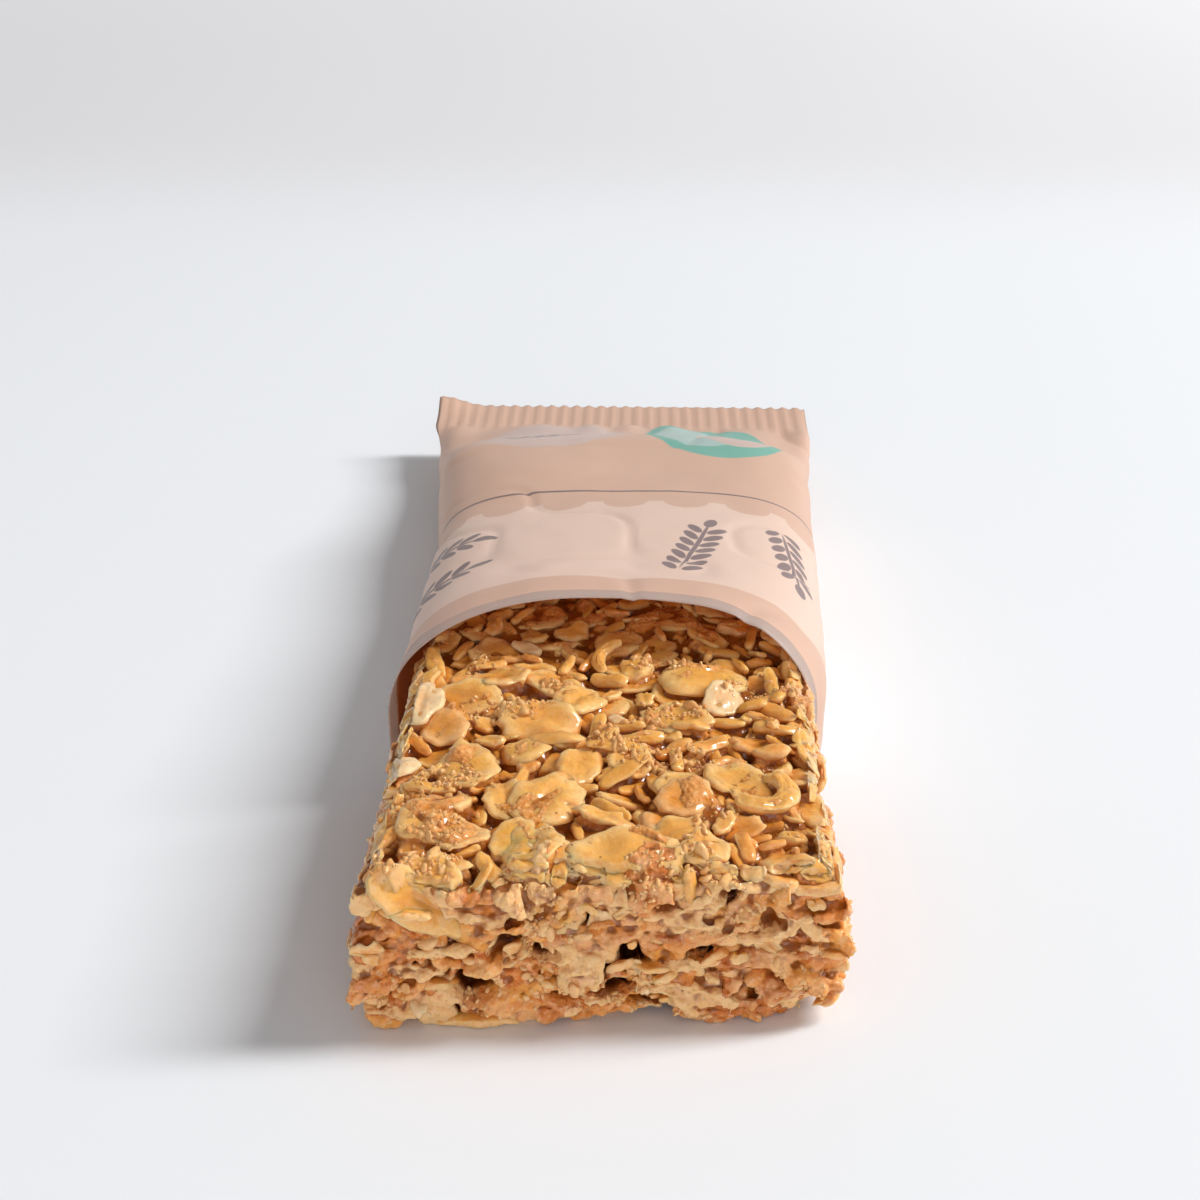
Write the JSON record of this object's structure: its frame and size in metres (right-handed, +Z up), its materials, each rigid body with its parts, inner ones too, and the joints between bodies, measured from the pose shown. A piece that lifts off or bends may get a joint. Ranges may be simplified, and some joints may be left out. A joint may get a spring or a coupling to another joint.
{
  "type": "granola bar",
  "caption": "Oat granola bar standing half out of its opened printed flow wrapper, with a rough cut end in front and a flat sealed fin behind.",
  "frame": {"origin": "middle of the underside of the whole object's box, on the surface that it lies on", "axes": "+Z up; the bar's cut end faces -Y and the wrapper's sealed fin +Y; +X is to the right seen from the cut end"},
  "size_m": [0.057, 0.1369, 0.0228],
  "materials": {
    "oats": "rolled oats baked in syrup, satin with glossy spots",
    "wrapper_film": "satin printed film, kraft coloured with pale fields"
  },
  "bodies": {
    "root": {"bar": "oats", "wrapper": "wrapper_film"}
  },
  "joints": []
}
